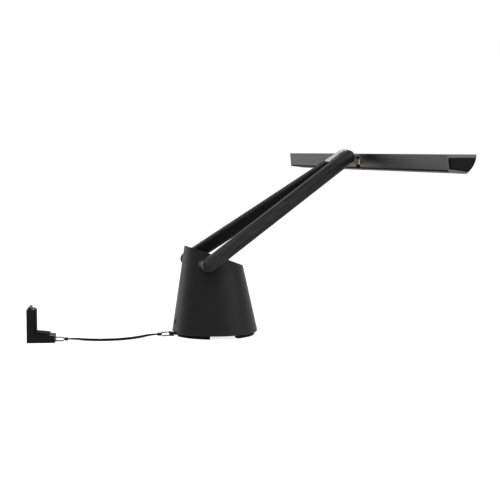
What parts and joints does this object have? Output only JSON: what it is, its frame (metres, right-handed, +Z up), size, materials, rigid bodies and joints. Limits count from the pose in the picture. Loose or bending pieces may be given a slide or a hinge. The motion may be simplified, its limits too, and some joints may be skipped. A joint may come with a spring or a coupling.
{
  "type": "piano lamp",
  "caption": "Piano lamp with a weighted cone base, twin swing arms, a long tilting and swivelling light bar, a dimmer dial and a strap with an edge hook",
  "frame": {"origin": "centre of the base's foot circle, on the surface that the lamp stands on", "axes": "+X forward from the base towards the light bar, +Y along the light bar to its left end, +Z up"},
  "size_m": [0.6574, 0.72, 0.3282],
  "materials": {
    "housing_paint": "fine satin dark grey powder coat",
    "arm_finish": "satin dark grey coat over aluminium",
    "bar_finish": "satin mid grey anodised aluminium",
    "champagne": "fine satin champagne anodised aluminium",
    "panel": "smooth black panel",
    "dial_finish": "turned dark grey aluminium",
    "button_finish": "smooth black",
    "cast_weight": "as cast, black dip",
    "black_steel": "satin black coat",
    "bright_steel": "zinc plated",
    "foot_rubber": "matt black rubber",
    "slide_plastic": "natural low friction plastic",
    "board": "green circuit board",
    "switchgear": "black moulded plastic",
    "chip": "yellow phosphor",
    "reflector_white": "white reflective sheet",
    "diffuser": "frosted translucent plastic",
    "black_plastic": "matt black plastic",
    "webbing": "woven black band"
  },
  "bodies": {
    "base": {"base_housing": "housing_paint", "control_panel": "panel", "control_board": "board", "board_screws": "bright_steel", "dial_encoder": "switchgear", "power_switch": "switchgear", "base_plate": "black_steel", "plate_screws": "bright_steel", "counterweight": "cast_weight", "foot_ring": "foot_rubber", "dc_jack": "switchgear", "jack_nut": "bright_steel", "pivot_frame": "bright_steel", "frame_screws": "bright_steel", "friction_discs": "slide_plastic", "pivot_bushes": "slide_plastic", "pivot_washers": "slide_plastic", "strap_anchor": "black_steel", "anchor_pin": "black_steel", "anchor_screw": "black_steel", "strap_eyes": "black_steel", "strap_crimps": "black_steel", "safety_strap": "webbing", "edge_hook": "black_steel", "hook_pin": "black_steel", "hook_pad": "foot_rubber"},
    "arms": {"arm_right": "arm_finish", "arm_left": "arm_finish", "arm_covers": "black_plastic", "arm_wire": "switchgear", "arm_spacer": "champagne", "spacer_dowels": "bright_steel", "tilt_axle": "bright_steel", "tilt_washers": "slide_plastic", "pivot_shaft": "bright_steel", "spring_washers": "bright_steel", "shaft_nuts": "bright_steel"},
    "neck": {"tilt_knuckle": "champagne"},
    "head": {"neck_bracket": "black_steel", "swivel_pin": "black_steel", "light_bar_shell": "bar_finish", "end_cap_right": "bar_finish", "end_cap_left": "bar_finish", "led_carrier": "reflector_white", "led_strip": "reflector_white", "led_chips": "chip", "reflectors": "reflector_white", "light_lens": "diffuser", "bottom_cover": "black_plastic"},
    "dial": {"dimmer_dial": "dial_finish"},
    "button": {"power_button": "button_finish"}
  },
  "joints": [
    {"name": "arm_lift", "type": "hinge", "parent": "base", "child": "arms", "pos_m": [-0.031, 0, 0.129], "axis": [0, -1, 0], "range_deg": [-18, 65]},
    {"name": "head_tilt", "type": "hinge", "parent": "arms", "child": "neck", "pos_m": [0.24909, 0, 0.31369], "axis": [0, 1, 0], "range_deg": [-40, 60]},
    {"name": "head_swivel", "type": "hinge", "parent": "neck", "child": "head", "pos_m": [0.27909, 0, 0.30569], "axis": [0, 0, 1], "range_deg": [-20, 20]},
    {"name": "dial_turn", "type": "hinge", "parent": "base", "child": "dial", "pos_m": [0.012, 0, 0.13563], "axis": [0.3355, 0, 0.9421], "continuous": true},
    {"name": "button_press", "type": "slide", "parent": "base", "child": "button", "axis": [-0.3355, 0, -0.9421], "range_m": [0, 0.001], "stiffness_N_per_m": 300, "springref_m": -0.0005}
  ]
}
